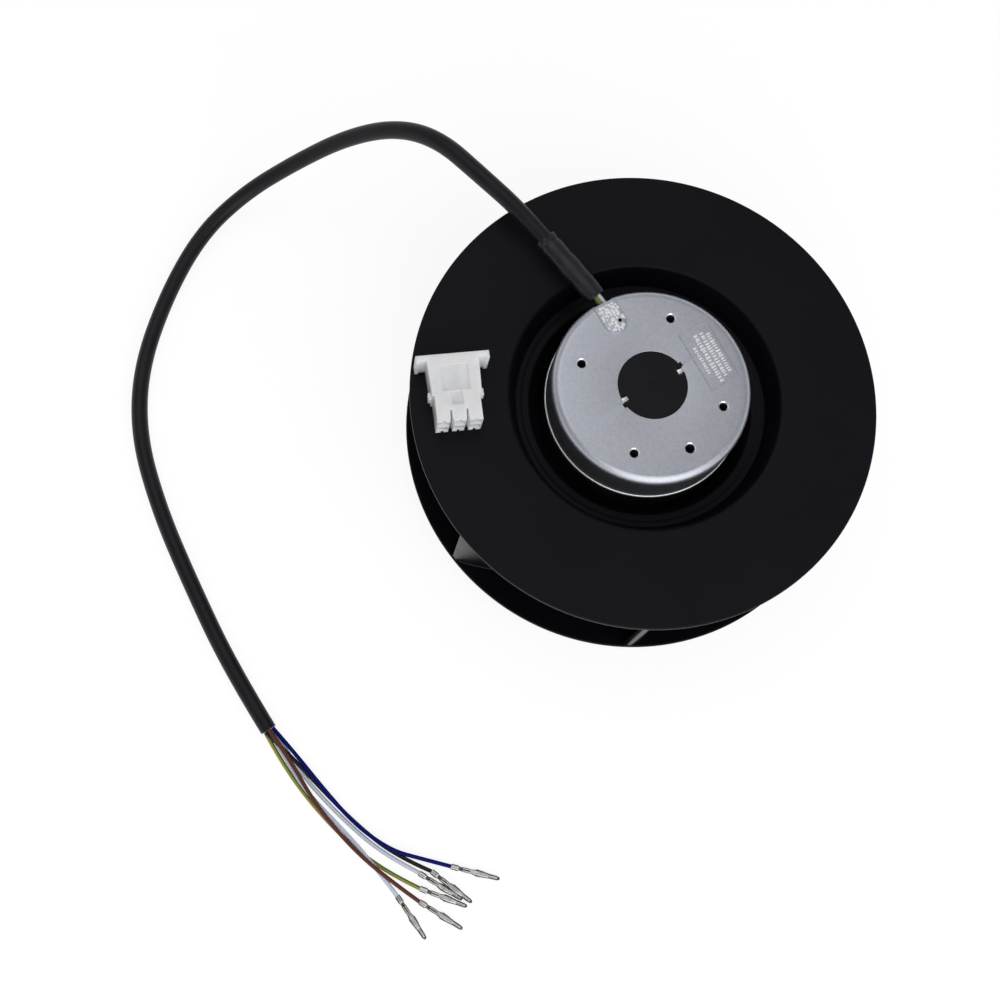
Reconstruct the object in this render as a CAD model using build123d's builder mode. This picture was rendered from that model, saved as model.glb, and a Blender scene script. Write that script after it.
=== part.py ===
from build123d import *
import math
import os

# A centrifugal fan: an external-rotor motor carries a backward-curved impeller.
# It lies on its inlet lip with the motor's mounting flange up, beside its own cable.
# Sizes are in millimetres. The origin is on the spin axis, level with the inlet lip.

# Impeller
impeller_height = 70.5
disc_radius = 95.0
disc_wall = 2.3
recess_radius = 54.4
recess_edge_chamfer = 1.8
recess_draft = 12.0
ledge_depth = 12.5
ledge_inner_radius = 46.0
funnel_depth = 8.0
pot_wall = 2.0
pot_mouth_radius = 31.0
shroud_inset = 1.0
shroud_wall = 2.0
shroud_slope = 18.0
inlet_radius = 63.0
collar_height = 6.4
mouth_round = 9.0
mouth_facets = 3
weld_gap = 0.05

# Blades, as one circular arc each between an inlet and an outlet angle
blade_count = 7
blade_wall = 2.2
blade_root_radius = 58.0
blade_tip_inset = 0.5
blade_outlet_angle = 38.0
blade_inlet_angle = 27.0
blade_first_tip_angle = -126.5
blade_sector_angle = 80.0
blade_sector_start_angle = 15.0

# Stator flange, a die-cast cup with the bearing tube cast on
flange_rise = 13.5
flange_wall = 2.6
flange_edge_reach = 3.2
flange_edge_middle = 0.95
cup_radius = 40.5
cup_depth = 20.5
tube_wall = 2.6
tube_shoulder = 1.4
tube_skirt = 1.5

# Features on the flange's face
screw_circle = 58.4
screw_count = 4
screw_core_radius = 1.65
screw_mouth_chamfer = 0.4
screw_boss_radius = 4.0
screw_boss_depth = 5.0
earth_angle = -45.0
earth_core_radius = 1.85
frame_angle = 45.0
frame_centre_radius = 26.6
frame_length = 26.9
frame_width = 13.9
frame_line = 0.7
raised_height = 0.3
pad_width = 9.9
pad_inner_radius = 24.7
vent_radius = 0.75
vent_place_radius = 29.3
vent_angle = 131.2
cap_radius = 13.9
cap_thickness = 1.7
cap_clearance = 0.1
cap_tab_width = 2.4
cap_tab_radius = 11.3
cap_tab_angle = 45.0

# Cable outlet in the cup's wall
outlet_angle = 135.0
outlet_notch_width = 8.0
outlet_notch_radius = 38.8
outlet_drop = 5.8
outlet_window_radius = 3.8

# Shaft and bearings
shaft_radius = 4.0
bearing_radius = 11.0
bearing_width = 7.0
bearing_ring_wall = 2.0
bearing_running_gap = 0.3
upper_bearing_drop = 5.0
bearing_spacing = 34.0
shaft_end_length = 1.6
snap_ring_wall = 2.0
snap_ring_height = 0.9
seat_gap = 0.02

# Rotor and windings
rotor_gap = 0.8
rotor_base_wall = 1.6
rotor_depth = 38.7
rotor_hub_radius = 9.0
rotor_hub_height = 10.5
rotor_neck_radius = 5.8
air_gap = 0.5
core_radius = 34.0
core_height = 22.0
core_drop = 25.0
slot_count = 12
slot_inner_radius = 18.5
slot_outer_radius = 31.5
slot_inner_width = 5.0
slot_outer_width = 10.5
slot_mouth = 2.4
winding_inner_radius = 18.8
winding_outer_radius = 32.4
winding_upper_height = 12.0
winding_lower_height = 8.5

# Cable
sleeve_diameter = 7.0
collar_diameter = 8.0
exit_bundle_diameter = 4.6
lead_diameter = 1.7
sleeve_sides = 12
lead_sides = 6
arc_share = 0.45

# Crimped pin contacts, from the insulation crimp to the nose
crimp_length = 3.2
crimp_width = 2.5
neck_length = 1.4
neck_width = 1.3
wire_crimp_length = 3.4
wire_crimp_width = 2.0
body_length = 6.4
body_width = 2.2
pin_length = 5.6
pin_width = 1.7
pin_nose = 0.6
contact_gap = 0.3

# Connector housing, which lies loose on the back disc
housing_inset = 15.1
housing_angle = -171.62
housing_turn = 22.9
housing_lift = 0.3
housing_height = 13.6
housing_flange_width = 29.0
housing_flange_depth = 2.4
housing_ear_length = 3.0
housing_ear_wall = 1.5
housing_body_width = 20.6
housing_body_length = 14.4
housing_lower_width = 17.9
housing_lower_length = 11.0
housing_slot_width = 1.3
housing_slot_length = 5.0
housing_columns = 3
housing_rows = 2
housing_pitch = 6.35
housing_bore = 4.4
housing_lug_length = 2.8
housing_lug_width = 2.4
housing_lug_height = 5.0

# Heights that follow from the sizes above
disc_underside = impeller_height - disc_wall
shroud_radius = disc_radius - shroud_inset
face_height = impeller_height + flange_rise
plate_underside = face_height - flange_wall
lip_height = face_height - cup_depth
ledge_height = impeller_height - ledge_depth
ledge_outer_radius = recess_radius - ledge_depth * math.tan(math.radians(recess_draft))
recess_edge_radius = recess_radius - recess_edge_chamfer * math.tan(math.radians(recess_draft))
rotor_rim_height = lip_height - rotor_gap
rotor_base_height = rotor_rim_height - rotor_depth
upper_bearing_top = face_height - upper_bearing_drop
upper_bearing_bottom = upper_bearing_top - bearing_width
lower_bearing_top = upper_bearing_top - bearing_spacing
lower_bearing_bottom = lower_bearing_top - bearing_width
tube_end_height = lower_bearing_bottom - tube_skirt
tube_radius = bearing_radius + tube_wall
tube_bore_radius = bearing_radius - tube_shoulder
cap_seat_radius = cap_radius + cap_clearance
cap_seat_height = face_height - cap_thickness
core_top = face_height - core_drop
core_bottom = core_top - core_height
outlet_height = face_height - outlet_drop

# The cable's route, from the collar at the motor down to the floor and round to its end
exit_points = [(-26.2, 27.9, outlet_height - 0.2), (-30.3, 31.0, outlet_height)]
collar_points = [(-30.5, 31.1, outlet_height), (-55.7, 47.6, outlet_height + 0.8)]
sleeve_points = [
    (-56.0, 47.8, outlet_height + 0.8),
    (-69.4, 56.2, outlet_height + 2.2),
    (-89.1, 65.9, outlet_height + 2.8),
    (-109.9, 77.9, 77.0),
    (-129.1, 82.8, 66.0),
    (-149.5, 80.4, 48.5),
    (-169.7, 71.9, 28.0),
    (-189.0, 58.9, 10.5),
    (-202.2, 36.8, 4.6),
    (-207.6, 5.8, 3.7),
    (-207.6, -29.7, 3.7),
    (-198.7, -59.4, 3.7),
    (-180.0, -87.6, 3.7),
    (-157.7, -113.7, 3.7),
    (-130.6, -143.2, 3.7),
    (-107.8, -163.2, 3.7),
]

# Each lead's route from the sleeve's end to its contact, and the contact's heading in degrees
lead_routes = {
    "green_yellow": (
        [
            (-108.6, -164.7, 2.7),
            (-99.2, -173.7, 0.95),
            (-84.5, -185.2, 0.95),
            (-66.0, -196.3, 0.95),
            (-46.2, -204.5, 0.95),
            (-29.7, -207.2, 1.3),
        ],
        -4.5,
    ),
    "brown": (
        [
            (-107.5, -163.4, 5.7),
            (-95.6, -172.6, 5.8),
            (-80.2, -187.1, 4.8),
            (-62.3, -198.7, 4.7),
            (-45.1, -206.7, 4.2),
            (-28.4, -212.3, 2.0),
        ],
        -15.6,
    ),
    "blue": (
        [
            (-106.3, -162.1, 4.7),
            (-94.8, -169.2, 4.0),
            (-79.5, -179.6, 3.1),
            (-62.6, -190.1, 3.0),
            (-45.5, -196.0, 3.0),
            (-32.5, -195.7, 2.4),
            (-19.9, -195.3, 1.3),
        ],
        1.9,
    ),
    "black": (
        [
            (-108.6, -164.7, 4.7),
            (-94.8, -171.3, 3.1),
            (-79.5, -180.3, 0.95),
            (-62.0, -189.7, 0.95),
            (-43.5, -197.3, 0.95),
            (-27.2, -199.5, 3.8),
        ],
        -20.8,
    ),
    "white_upper": (
        [
            (-106.3, -162.1, 2.7),
            (-91.9, -174.9, 0.95),
            (-75.2, -185.4, 0.95),
            (-56.0, -194.9, 0.95),
            (-42.5, -199.2, 0.95),
            (-31.7, -201.4, 1.3),
        ],
        -14.9,
    ),
    "white_lower": (
        [
            (-107.5, -163.4, 1.65),
            (-98.2, -171.7, 0.95),
            (-86.5, -182.3, 2.75),
            (-69.5, -191.9, 2.9),
            (-52.8, -201.7, 3.0),
            (-37.7, -212.6, 1.3),
        ],
        -39.5,
    ),
}

os.makedirs("parts", exist_ok=True)


def save(piece, label):
    """Writes one piece of the fan under its own name."""
    piece.label = label
    export_step(piece, f"parts/{label}.step")


def arc_radii(points):
    """The largest arc that each corner's two runs leave room for."""
    radii = []
    for before, corner, after in zip(points, points[1:], points[2:]):
        arriving = Vector(corner) - Vector(before)
        leaving = Vector(after) - Vector(corner)
        half_turn = math.radians(arriving.get_angle(leaving)) / 2
        shorter = min(arriving.length, leaving.length)
        radii.append(arc_share * shorter / math.tan(half_turn))
    return radii


def cord(points, diameter, sides, label):
    """A many-sided cord along straight runs joined by tangent arcs."""
    with BuildPart() as tube:
        with BuildLine() as path:
            if len(points) > 2:
                FilletPolyline(*points, radius=arc_radii(points))
            else:
                Line(*points)
        route = path.wire()
        with BuildSketch(Plane(origin=route @ 0, z_dir=route % 0)):
            RegularPolygon(diameter / 2, sides)
        sweep()
    section = sides * math.sin(2 * math.pi / sides) * diameter**2 / 8
    share = tube.part.volume / (section * route.length)
    radii = [round(radius, 1) for radius in arc_radii(points)]
    print(label, "length", round(route.length, 1), "volume share", round(share, 4), radii)
    save(tube.part, label)


def ring(outer_radius, inner_radius, bottom, height, label):
    """A plain ring about the spin axis."""
    with BuildPart() as piece:
        with BuildSketch(Plane.XY.offset(bottom)):
            Circle(outer_radius)
            Circle(inner_radius, mode=Mode.SUBTRACT)
        extrude(amount=height)
    save(piece.part, label)


# Back disc: a flat plate that steps down into the pot that grips the rotor
pot_seat_radius = cup_radius + seat_gap
pot_radius = pot_seat_radius + pot_wall
pot_bottom = rotor_base_height - pot_wall
funnel_height = ledge_height - funnel_depth
cone_offset = pot_wall / math.cos(math.radians(recess_draft))
underside_radius = ledge_outer_radius + cone_offset + (
    disc_underside - ledge_height
) * math.tan(math.radians(recess_draft))
with BuildPart() as back_disc:
    with BuildSketch(Plane.XZ):
        with BuildLine():
            Polyline(
                (disc_radius, impeller_height),
                (recess_radius + recess_edge_chamfer, impeller_height),
                (recess_edge_radius, impeller_height - recess_edge_chamfer),
                (ledge_outer_radius, ledge_height),
                (ledge_inner_radius, ledge_height),
                (pot_seat_radius, funnel_height),
                (pot_seat_radius, rotor_base_height),
                (pot_mouth_radius, rotor_base_height),
                (pot_mouth_radius, pot_bottom),
                (pot_radius, pot_bottom),
                (pot_radius, funnel_height - pot_wall / 2),
                (ledge_inner_radius + pot_wall / 2, ledge_height - pot_wall),
                (ledge_outer_radius + cone_offset, ledge_height - pot_wall),
                (underside_radius, disc_underside),
                (disc_radius, disc_underside),
                close=True,
            )
        make_face()
    revolve(axis=Axis.Z)
save(back_disc.part, "impeller_back_disc")

# Shroud: a cone from the rim that rounds down into the inlet collar
slope = math.radians(shroud_slope)
mouth_outer_radius = inlet_radius + mouth_round
throat_radius = mouth_outer_radius - mouth_round * math.sin(slope)
throat_height = collar_height + mouth_round * math.cos(slope)
rim_height = throat_height + (shroud_radius - throat_radius) * math.tan(slope)
rim_drop = shroud_wall / math.cos(slope)


def mouth(radius):
    """Points round the shroud's mouth at one radius, from the cone to the collar."""
    points = []
    for step in range(mouth_facets + 1):
        angle = slope + (math.pi / 2 - slope) * step / mouth_facets
        points.append(
            (
                mouth_outer_radius - radius * math.sin(angle),
                collar_height + radius * math.cos(angle),
            )
        )
    return points


with BuildPart() as shroud:
    with BuildSketch(Plane.XZ):
        with BuildLine():
            Polyline(
                (shroud_radius, rim_height),
                *mouth(mouth_round),
                (inlet_radius, 0),
                (inlet_radius + shroud_wall, 0),
                *reversed(mouth(mouth_round - shroud_wall)),
                (shroud_radius, rim_height - rim_drop),
                close=True,
            )
        make_face()
    revolve(axis=Axis.Z)
save(shroud.part, "impeller_shroud")

# Blades: a circular arc in plan, cut to the passage between disc and shroud
blade_tip_radius = shroud_radius - blade_tip_inset
outlet_cosine = math.cos(math.radians(blade_outlet_angle))
inlet_cosine = math.cos(math.radians(blade_inlet_angle))
blade_arc_radius = (blade_tip_radius**2 - blade_root_radius**2) / (
    2 * (blade_tip_radius * outlet_cosine - blade_root_radius * inlet_cosine)
)
blade_arc_centre = Vector(
    blade_tip_radius - blade_arc_radius * outlet_cosine,
    -blade_arc_radius * math.sin(math.radians(blade_outlet_angle)),
).rotate(Axis.Z, blade_sector_start_angle)
tip_foot = rim_height - blade_tip_inset * math.tan(slope) + weld_gap
with BuildPart() as blade:
    with BuildSketch(Plane.XZ):
        with BuildLine():
            Polyline(
                (blade_root_radius, disc_underside),
                (blade_tip_radius, disc_underside),
                (blade_tip_radius, tip_foot),
                (throat_radius, throat_height + weld_gap),
                close=True,
            )
        make_face()
    revolve(axis=Axis.Z, revolution_arc=blade_sector_angle)
    with BuildSketch(Plane.XY):
        with Locations(blade_arc_centre):
            Circle(blade_arc_radius + blade_wall / 2)
            Circle(blade_arc_radius - blade_wall / 2, mode=Mode.SUBTRACT)
    extrude(amount=disc_underside, mode=Mode.INTERSECT)
for number in range(blade_count):
    turn = blade_first_tip_angle - blade_sector_start_angle + number * 360 / blade_count
    save(blade.part.rotate(Axis.Z, turn), f"impeller_blade_{number + 1}")

# Stator flange
with BuildPart() as flange:
    with BuildSketch(Plane.XZ):
        with BuildLine():
            Polyline(
                (bearing_radius, tube_end_height),
                (tube_radius, tube_end_height),
                (tube_radius, plate_underside),
                (cup_radius - flange_wall, plate_underside),
                (cup_radius - flange_wall, lip_height),
                (cup_radius, lip_height),
                (cup_radius, face_height - flange_edge_reach),
                (cup_radius - flange_edge_middle, face_height - flange_edge_middle),
                (cup_radius - flange_edge_reach, face_height),
                (cap_seat_radius, face_height),
                (cap_seat_radius, cap_seat_height),
                (bearing_radius, cap_seat_height),
                (bearing_radius, upper_bearing_bottom),
                (tube_bore_radius, upper_bearing_bottom),
                (tube_bore_radius, lower_bearing_top),
                (bearing_radius, lower_bearing_top),
                close=True,
            )
        make_face()
    revolve(axis=Axis.Z)
    # Screw bosses under the plate
    with BuildSketch(Plane.XY.offset(plate_underside)):
        with PolarLocations(screw_circle / 2, screw_count):
            Circle(screw_boss_radius)
        with PolarLocations(screw_circle / 2, 1, start_angle=earth_angle):
            Circle(screw_boss_radius)
    extrude(amount=-screw_boss_depth)
    # Tabs that hold the centre cap
    with BuildSketch(Plane.XY.offset(cap_seat_height)):
        with PolarLocations((cap_tab_radius + cap_seat_radius) / 2, 2, start_angle=cap_tab_angle):
            Rectangle(cap_seat_radius - cap_tab_radius + cap_clearance, cap_tab_width)
    extrude(amount=cap_thickness)
    # Raised frame and raised cable pad on the face
    with BuildSketch(Plane.XY.offset(face_height)):
        with PolarLocations(frame_centre_radius, 1, start_angle=frame_angle):
            Rectangle(frame_width, frame_length)
            Rectangle(
                frame_width - 2 * frame_line,
                frame_length - 2 * frame_line,
                mode=Mode.SUBTRACT,
            )
        pad_outer_radius = outlet_notch_radius - frame_line
        pad_length = pad_outer_radius - pad_inner_radius - pad_width / 2
        with PolarLocations(pad_outer_radius - pad_length / 2, 1, start_angle=outlet_angle):
            Rectangle(pad_length, pad_width)
        with PolarLocations(pad_inner_radius + pad_width / 2, 1, start_angle=outlet_angle):
            Circle(pad_width / 2)
    extrude(amount=raised_height)
    # Threaded screw holes, the earth screw's hole and a small vent
    with Locations(Plane.XY.offset(face_height)):
        with PolarLocations(screw_circle / 2, screw_count):
            CounterSinkHole(
                screw_core_radius,
                screw_core_radius + screw_mouth_chamfer,
                depth=flange_wall + screw_boss_depth,
                counter_sink_angle=90,
            )
        with PolarLocations(screw_circle / 2, 1, start_angle=earth_angle):
            CounterSinkHole(
                earth_core_radius,
                earth_core_radius + screw_mouth_chamfer,
                depth=flange_wall + screw_boss_depth,
                counter_sink_angle=90,
            )
    with Locations(Plane.XY.offset(face_height + raised_height)):
        with PolarLocations(vent_place_radius, 1, start_angle=vent_angle):
            Hole(vent_radius, depth=flange_wall + raised_height)
    # Notch in the rounded edge and a window through the cup's wall for the leads
    with BuildSketch(Plane.XY.offset(outlet_height - outlet_window_radius)):
        notch_length = cup_radius - outlet_notch_radius
        with PolarLocations(outlet_notch_radius + notch_length / 2, 1, start_angle=outlet_angle):
            Rectangle(notch_length, outlet_notch_width)
    extrude(amount=face_height, mode=Mode.SUBTRACT)
    outward = Vector(1, 0, 0).rotate(Axis.Z, outlet_angle)
    window_centre = outward * (cup_radius - 2 * flange_wall) + Vector(0, 0, outlet_height)
    with BuildSketch(Plane(origin=window_centre, z_dir=outward)):
        Circle(outlet_window_radius)
    extrude(amount=2 * flange_wall, mode=Mode.SUBTRACT)
save(flange.part, "stator_flange")

# Centre cap, with a slot for each tab
with BuildPart() as cap:
    with BuildSketch(Plane.XY.offset(cap_seat_height)):
        Circle(cap_radius)
        slot_length = cap_radius - cap_tab_radius + 2 * cap_clearance
        slot_place = cap_radius + cap_clearance - slot_length / 2
        with PolarLocations(slot_place, 2, start_angle=cap_tab_angle):
            Rectangle(
                slot_length + cap_clearance,
                cap_tab_width + 2 * cap_clearance,
                mode=Mode.SUBTRACT,
            )
    extrude(amount=cap_thickness)
save(cap.part, "centre_cap")

# Shaft
shaft_top = upper_bearing_top + snap_ring_height + shaft_end_length
with BuildPart() as shaft:
    with BuildSketch(Plane.XY.offset(rotor_base_height)):
        Circle(shaft_radius)
    extrude(amount=shaft_top - rotor_base_height)
save(shaft.part, "shaft")

# Bearings: an outer ring in the tube and an inner ring on the shaft, sealed between them
inner_ring_radius = shaft_radius + bearing_ring_wall
outer_ring_bore = inner_ring_radius + bearing_running_gap
for name, bottom in (("upper", upper_bearing_bottom), ("lower", lower_bearing_bottom)):
    ring(
        bearing_radius - seat_gap,
        outer_ring_bore,
        bottom,
        bearing_width,
        f"{name}_bearing_outer",
    )
    ring(
        inner_ring_radius,
        shaft_radius + seat_gap,
        bottom,
        bearing_width,
        f"{name}_bearing_inner",
    )
ring(
    shaft_radius + snap_ring_wall,
    shaft_radius + seat_gap,
    upper_bearing_top,
    snap_ring_height,
    "shaft_snap_ring",
)

# Rotor: a cup on its hub, open towards the flange, with the laminated ring and its cage
# inside its wall, and the hub's neck against the lower bearing
hub_top = rotor_base_height + rotor_base_wall + rotor_hub_height
with BuildPart() as rotor_can:
    with BuildSketch(Plane.XZ):
        with BuildLine():
            Polyline(
                (shaft_radius + seat_gap, rotor_base_height),
                (cup_radius, rotor_base_height),
                (cup_radius, rotor_rim_height),
                (core_radius + air_gap, rotor_rim_height),
                (core_radius + air_gap, rotor_base_height + rotor_base_wall),
                (rotor_hub_radius, rotor_base_height + rotor_base_wall),
                (rotor_hub_radius, hub_top),
                (rotor_neck_radius, hub_top),
                (rotor_neck_radius, lower_bearing_bottom),
                (shaft_radius + seat_gap, lower_bearing_bottom),
                close=True,
            )
        make_face()
    revolve(axis=Axis.Z)
save(rotor_can.part, "rotor_can")

# Stator core: a stack of laminations with open slots
with BuildPart() as core:
    with BuildSketch(Plane.XY.offset(core_bottom)):
        Circle(core_radius)
        Circle(tube_radius + seat_gap, mode=Mode.SUBTRACT)
        with PolarLocations(0, slot_count):
            with BuildLine(mode=Mode.PRIVATE) as slot_line:
                Polyline(
                    (slot_inner_radius, -slot_inner_width / 2),
                    (slot_outer_radius, -slot_outer_width / 2),
                    (slot_outer_radius, -slot_mouth / 2),
                    (core_radius + air_gap, -slot_mouth / 2),
                    (core_radius + air_gap, slot_mouth / 2),
                    (slot_outer_radius, slot_mouth / 2),
                    (slot_outer_radius, slot_outer_width / 2),
                    (slot_inner_radius, slot_inner_width / 2),
                    close=True,
                )
            add(make_face(slot_line.line, mode=Mode.PRIVATE), mode=Mode.SUBTRACT)
    extrude(amount=core_height)
save(core.part, "stator_core")

# End turns of the winding, above and below the core, with one side for each slot
for name, bottom, height in (
    ("upper", core_top, winding_upper_height),
    ("lower", core_bottom - winding_lower_height, winding_lower_height),
):
    with BuildPart() as winding:
        with BuildSketch(Plane.XY.offset(bottom)):
            RegularPolygon(winding_outer_radius, slot_count)
            RegularPolygon(winding_inner_radius, slot_count, mode=Mode.SUBTRACT)
        extrude(amount=height)
    save(winding.part, f"winding_{name}_end_turns")

# Cable: the leads leave the flange in a bundle, then run inside the collar and the sleeve
cord(exit_points, exit_bundle_diameter, sleeve_sides, "lead_outlet_bundle")
cord(collar_points, collar_diameter, sleeve_sides, "cable_collar")
cord(sleeve_points, sleeve_diameter, sleeve_sides, "cable_sleeve")


def contact_blocks():
    """Length, width and height of each stretch of a pin contact, from its crimp on."""
    return [
        (crimp_length, crimp_width, crimp_width),
        (neck_length, neck_width, neck_width),
        (wire_crimp_length, wire_crimp_width, wire_crimp_width),
        (neck_length / 2, neck_width, neck_width),
        (body_length, body_width, body_width),
    ]


with BuildPart() as contact:
    reach = 0
    for length, width, height in contact_blocks():
        with BuildSketch(Plane.YZ.offset(reach)):
            Rectangle(width, height)
        extrude(amount=length)
        reach += length
    with BuildSketch(Plane.YZ.offset(reach)):
        Rectangle(pin_width, pin_width)
    extrude(amount=pin_length)
    chamfer(contact.faces().sort_by(Axis.X)[-1].edges(), pin_nose)

for colour, (points, heading) in lead_routes.items():
    cord(points, lead_diameter, lead_sides, f"lead_{colour}")
    along = Vector(1, 0, 0).rotate(Axis.Z, heading)
    place = Location(Vector(points[-1]) + along * contact_gap, (0, 0, heading))
    save(contact.part.moved(place), f"contact_{colour}")

# Connector housing: a six-way nylon block with a mounting flange, two ears and three silos
housing_bottom = impeller_height + housing_lift
housing_centre = Vector(disc_radius - housing_inset, 0).rotate(Axis.Z, housing_angle)
middle_height = housing_bottom + housing_height / 2
flange_plane = Plane(
    origin=housing_centre + Vector(0, 0, middle_height),
    x_dir=Vector(1, 0, 0).rotate(Axis.Z, housing_turn),
    z_dir=Vector(0, -1, 0).rotate(Axis.Z, housing_turn),
)
with BuildPart() as housing:
    with BuildSketch(flange_plane):
        Rectangle(housing_flange_width, housing_height)
    extrude(amount=housing_flange_depth)
    with BuildSketch(flange_plane):
        ear_place = (housing_flange_width - housing_ear_wall) / 2
        with Locations((ear_place, 0), (-ear_place, 0)):
            Rectangle(housing_ear_wall, housing_height)
    extrude(amount=housing_ear_length)
    with BuildSketch(flange_plane):
        Rectangle(housing_body_width, housing_height)
    extrude(amount=housing_flange_depth + housing_body_length)
    with BuildSketch(flange_plane.offset(housing_flange_depth + housing_body_length)):
        Rectangle(housing_lower_width, housing_height)
    extrude(amount=housing_lower_length)
    # A latch lug on each side
    with BuildSketch(flange_plane.offset(housing_flange_depth + housing_body_length)):
        lug_place = housing_body_width / 2
        with Locations((lug_place, 0), (-lug_place, 0)):
            Rectangle(housing_lug_width, housing_lug_height)
    extrude(amount=-housing_lug_length)
    # Slots that part the silos, and a bore for each contact
    total_length = housing_flange_depth + housing_body_length + housing_lower_length
    with BuildSketch(flange_plane.offset(total_length)):
        with GridLocations(housing_pitch, 0, housing_columns - 1, 1):
            Rectangle(housing_slot_width, housing_height)
    extrude(amount=-housing_slot_length, mode=Mode.SUBTRACT)
    with BuildSketch(flange_plane):
        with GridLocations(housing_pitch, housing_pitch, housing_columns, housing_rows):
            Rectangle(housing_bore, housing_bore)
    extrude(amount=total_length, mode=Mode.SUBTRACT)
save(housing.part, "connector_housing")
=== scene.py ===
import random
from math import acos, asin, atan2, cos, exp, hypot, pi, radians, sin, tan

import bmesh
import bpy
from mathutils import Matrix, Vector


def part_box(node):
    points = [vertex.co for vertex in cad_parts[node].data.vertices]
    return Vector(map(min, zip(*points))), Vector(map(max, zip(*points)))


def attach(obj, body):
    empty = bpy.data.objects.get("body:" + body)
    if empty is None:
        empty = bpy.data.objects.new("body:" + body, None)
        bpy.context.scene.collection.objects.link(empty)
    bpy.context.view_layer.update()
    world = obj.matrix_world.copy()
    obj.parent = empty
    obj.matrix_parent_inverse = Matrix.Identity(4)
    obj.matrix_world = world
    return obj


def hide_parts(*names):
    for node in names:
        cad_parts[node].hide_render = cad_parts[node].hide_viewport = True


# A centrifugal fan with its cable and a loose connector housing.
# Shapes are written in millimetres and scaled once to metres, as MM says.
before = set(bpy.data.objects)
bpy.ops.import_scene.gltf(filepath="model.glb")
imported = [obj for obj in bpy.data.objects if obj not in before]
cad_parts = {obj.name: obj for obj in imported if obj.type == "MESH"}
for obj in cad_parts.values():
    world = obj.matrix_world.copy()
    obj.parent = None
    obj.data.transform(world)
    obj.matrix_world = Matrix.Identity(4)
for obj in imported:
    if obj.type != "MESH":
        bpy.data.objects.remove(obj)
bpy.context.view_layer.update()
MM = 0.001
Z_AXIS = Vector((0, 0, 1))
FULL_TURN = 2 * pi
BOTH_ENDS = (0, pi)

# Heights and radii that the frame gives, in millimetres
disc_low, disc_high = (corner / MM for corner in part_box("impeller_back_disc"))
shroud_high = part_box("impeller_shroud")[1] / MM
flange_low, flange_high = (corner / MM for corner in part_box("stator_flange"))
cap_low, cap_high = (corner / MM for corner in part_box("centre_cap"))
rotor_low, rotor_high = (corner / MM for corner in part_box("rotor_can"))
disc_top = disc_high.z
disc_radius = disc_high.x
pot_bottom = disc_low.z
rotor_base = rotor_low.z
lip_rise = 0.8
lip_height = rotor_high.z + lip_rise
cup_radius = flange_high.x
face_height = cap_high.z
tube_end = flange_low.z
shroud_radius = shroud_high.x
rim_height = shroud_high.z

# Impeller
disc_wall = 2.3
recess_radius = 54.4
ledge_height = disc_top - 12.5
ledge_outer_radius = 51.7
ledge_inner_radius = 46.0
ledge_step = 0.3
under_ledge_radius = 53.8
under_recess_radius = 56.2
funnel_height = ledge_height - 8.0
pot_seat_radius = cup_radius + 0.02
pot_wall = 2.0
pot_mouth_radius = 31.0
shroud_wall = 2.0
shroud_slope = radians(18.0)
shroud_rim_width = 4.0
inlet_radius = 63.0
inlet_lip_height = 3.0
collar_height = 6.4
mouth_round = 9.0
mouth_steps = 14
blade_count = 7
blade_wall = 2.2
blade_root_radius = 58.0
blade_tip_radius = shroud_radius - 0.5
blade_outlet_angle = radians(38.0)
blade_inlet_angle = radians(27.0)
blade_first_tip = radians(-126.5)
blade_least_height = 1.7
blade_fillets = [(-0.3, 0.8), (0.1, 0.7), (0.3, 0.35), (0.8, 0.08), (1.5, 0.0)]

# Rotor can, with heights above its base
can_bore_radius = 4.02
can_inner_radius = 34.5
can_step_height = 0.9
can_wall = 1.8
hub_radius = 9.0
hub_height = 12.1
collar_radius = 5.8
collar_end = 14.0

# Stator flange, with depths below its face
flange_wall = 2.6
flange_edge_round = 3.6
vent_radius = 0.75
vent_place = (-19.3, 22.1)
tube_radius = 13.6
bearing_radius = 11.0
screw_circle_radius = 29.2
screw_core_radius = 1.65
earth_core_radius = 1.85
screw_pitch = 0.7
bore_depth = 9.0
bore_chamfer = 0.45
thread_depth = 7.2
thread_length = 6.1
thread_bite = 0.25
boss_radius = 4.0
boss_depth = 7.6
window_radius = 3.8
window_place = 38.0
window_step_size = (4.0, 8.0, 12.0)
window_step_place = 40.8
window_step_rise = 2.2
outlet_angle = radians(135.0)
cap_radius = 13.9
cap_thickness = face_height - cap_low.z
cap_tab_radius = 11.3
cap_tab_width = 2.4
cap_tab_angle = radians(45.0)
cap_ear_turn = radians(9.0)
cap_ear_reach = 1.1
cap_ear_width = 1.9
lip_bead_radius = 0.5
lip_setback = 0.45

# Raised frame and cable pad
frame_angle = radians(45.0)
frame_half_length = 13.1
frame_half_width = 6.6
frame_middle = 26.6
frame_rows = ((0.2, 6.0, 1.6), (0.42, 11.0, 2.3), (0.62, 9.8, 2.3), (0.8, 8.8, 2.3))
pad_inner = 24.9
pad_outer = 37.6
pad_half_width = 4.7
pad_edge_clearance = 0.7
pad_vent_clearance = 1.5
dimple_pitch = (1.25, 1.3)
dimple_start = (0.9, -3.9)
dimple_shift = 0.35
dimple_gaps = 0.12

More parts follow.
